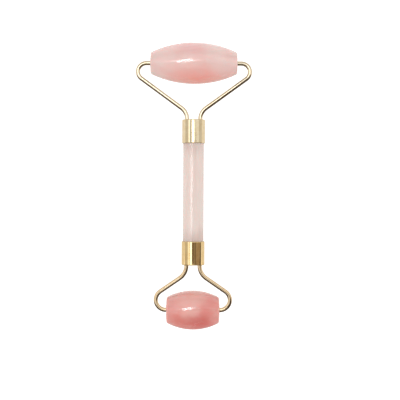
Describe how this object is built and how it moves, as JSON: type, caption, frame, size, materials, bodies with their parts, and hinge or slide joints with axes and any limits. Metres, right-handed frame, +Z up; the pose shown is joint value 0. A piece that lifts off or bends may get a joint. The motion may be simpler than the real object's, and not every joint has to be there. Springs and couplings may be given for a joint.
{
  "type": "face roller",
  "caption": "Hand-held facial massage roller: barrel-shaped pink stones turn freely in bent gilt wire frames at both ends of a round stone handle.",
  "frame": {"origin": "on the table under the middle of the roller's bounding box, where it lies on both stones", "axes": "+X across the tool, the way both axles lie; +Y along the handle from the small stone to the large one; +Z up from the table"},
  "size_m": [0.059, 0.1454, 0.0209],
  "materials": {
    "pink_stone": "polished translucent stone",
    "deep_pink_stone": "polished translucent stone",
    "pale_stone": "polished translucent stone",
    "polished_gold": "polished gold plating",
    "gold_wire": "polished gold plating",
    "braze_metal": "plated braze",
    "bush_plastic": "natural nylon",
    "clear_glue": "cured epoxy"
  },
  "bodies": {
    "frame": {"handle_rod": "pale_stone", "large_ferrule": "polished_gold", "large_epoxy": "clear_glue", "large_arm_left": "gold_wire", "large_braze_left": "braze_metal", "large_arm_right": "gold_wire", "large_braze_right": "braze_metal", "small_ferrule": "polished_gold", "small_epoxy": "clear_glue", "small_arm_left": "gold_wire", "small_braze_left": "braze_metal", "small_arm_right": "gold_wire", "small_braze_right": "braze_metal"},
    "large_roller": {"large_stone": "pink_stone", "large_bush_left": "bush_plastic", "large_bush_right": "bush_plastic"},
    "small_roller": {"small_stone": "deep_pink_stone", "small_bush_left": "bush_plastic", "small_bush_right": "bush_plastic"}
  },
  "joints": [
    {"name": "large_roller_spin", "type": "hinge", "parent": "frame", "child": "large_roller", "pos_m": [0, 0.06226, 0.01045], "axis": [1, 0, 0], "continuous": true},
    {"name": "small_roller_spin", "type": "hinge", "parent": "frame", "child": "small_roller", "pos_m": [0, -0.06284, 0.00988], "axis": [1, 0, 0], "continuous": true}
  ]
}
